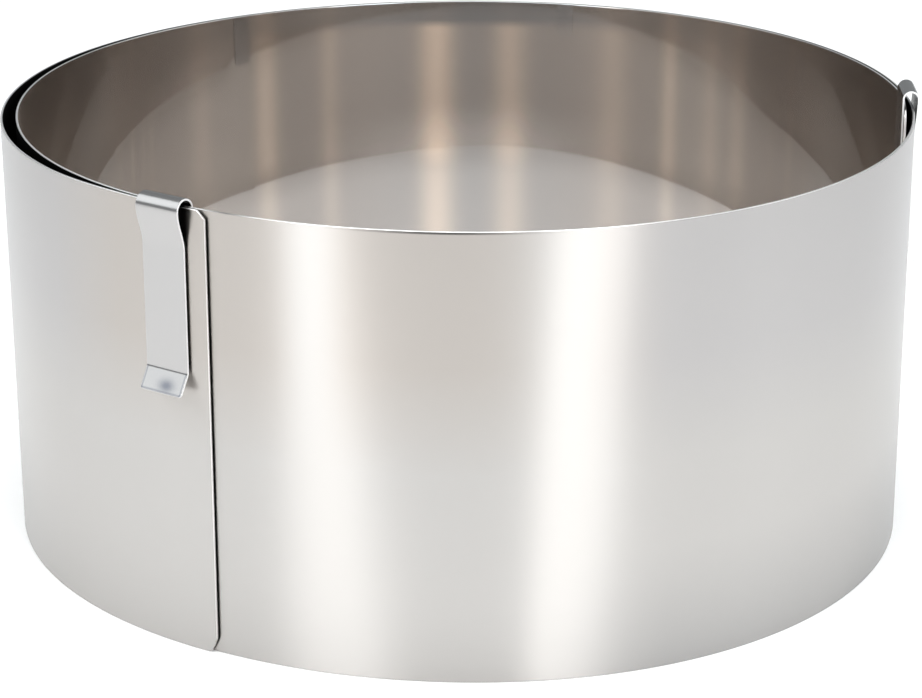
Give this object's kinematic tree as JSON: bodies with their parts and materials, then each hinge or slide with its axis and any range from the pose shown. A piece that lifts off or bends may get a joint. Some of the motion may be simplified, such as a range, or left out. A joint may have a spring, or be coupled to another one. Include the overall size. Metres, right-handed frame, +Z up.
{
  "type": "adjustable cake ring",
  "caption": "Round open baking ring wound from one long overlapping steel strip, held at its set diameter by spring clips pushed over the rim.",
  "frame": {"origin": "on the ring's axis, at the surface the ring stands on", "axes": "+Z up along the ring's axis; -Y towards the front, where the strip's outer end shows to the left; +X to the right"},
  "size_m": [0.1813, 0.1748, 0.0887],
  "materials": {
    "strip_steel": "bright rolled stainless sheet, satin outside and near mirror inside",
    "clip_steel": "polished spring steel"
  },
  "bodies": {
    "ring": {"ring_band": "strip_steel"},
    "outer_clip": {"outer_end_clip": "clip_steel"},
    "inner_clip": {"inner_end_clip": "clip_steel"}
  },
  "joints": [
    {"name": "outer_end_clip_pull_off", "type": "slide", "parent": "ring", "child": "outer_clip", "axis": [0, 0, 1], "range_m": [0, 0.051]},
    {"name": "inner_end_clip_pull_off", "type": "slide", "parent": "ring", "child": "inner_clip", "axis": [0, 0, 1], "range_m": [-0.002, 0.049]}
  ]
}
